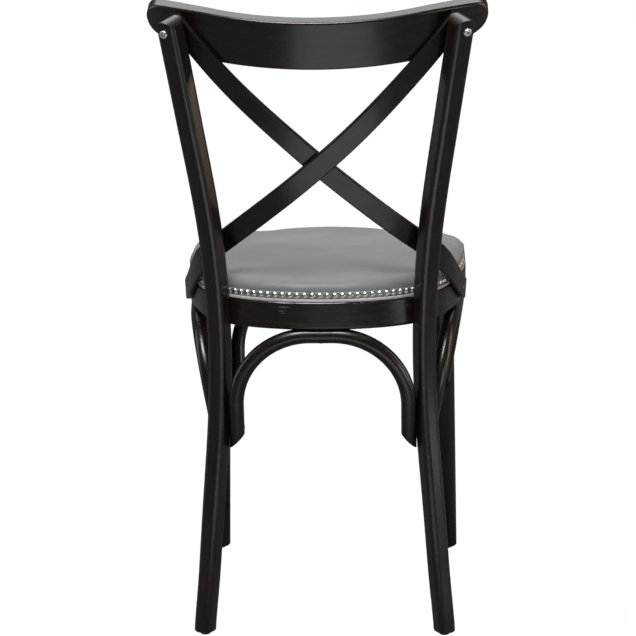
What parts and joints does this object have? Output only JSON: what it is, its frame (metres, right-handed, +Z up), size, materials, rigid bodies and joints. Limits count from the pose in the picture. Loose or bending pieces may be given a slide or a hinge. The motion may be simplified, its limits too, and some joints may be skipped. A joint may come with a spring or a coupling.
{
  "type": "bentwood chair",
  "caption": "Cross-back bentwood dining chair: bent rear posts, curved crest rail, crossed slats, hoop seat frame with a padded leather seat edged with nails, arched braces.",
  "frame": {"origin": "on the floor, under the middle of the bounding box", "axes": "+Z up, -Y the way the sitter faces, +X the sitter's left"},
  "size_m": [0.445, 0.5196, 0.8771],
  "materials": {
    "black_wood": "black-stained bent beech under satin lacquer",
    "grey_leather": "fine-grained dark grey leather with a soft sheen",
    "foam": "cut seat foam",
    "plywood": "plain plywood",
    "pewter_nail": "pewter-coloured nail heads",
    "bright_steel": "bright plated steel",
    "plain_steel": "zinc-plated steel",
    "brown_glide": "brown moulded glide"
  },
  "bodies": {
    "root": {"arch_crown_screws": "plain_steel", "arch_end_screws": "plain_steel", "board_screws": "plain_steel", "cleat_screws": "plain_steel", "crest_bolts": "bright_steel", "crest_inserts": "plain_steel", "crest_rail": "black_wood", "cross_slat_front": "black_wood", "cross_slat_rear": "black_wood", "front_arch": "black_wood", "front_leg_left": "black_wood", "front_leg_right": "black_wood", "glide_front_left": "brown_glide", "glide_front_right": "brown_glide", "glide_rear_left": "brown_glide", "glide_rear_right": "brown_glide", "hoop_bolts": "plain_steel", "hoop_inserts": "plain_steel", "hoop_washers": "plain_steel", "leg_screws": "plain_steel", "nailheads": "pewter_nail", "rear_arch": "black_wood", "rear_post_left": "black_wood", "rear_post_right": "black_wood", "seat_board": "plywood", "seat_cleat_front": "black_wood", "seat_cleat_left": "black_wood", "seat_cleat_rear": "black_wood", "seat_cleat_right": "black_wood", "seat_cover": "grey_leather", "seat_foam": "foam", "seat_hoop": "black_wood", "seat_welt": "grey_leather", "side_arch_left": "black_wood", "side_arch_right": "black_wood", "slat_end_screws": "bright_steel", "slat_lap_dowel": "black_wood"}
  },
  "joints": []
}
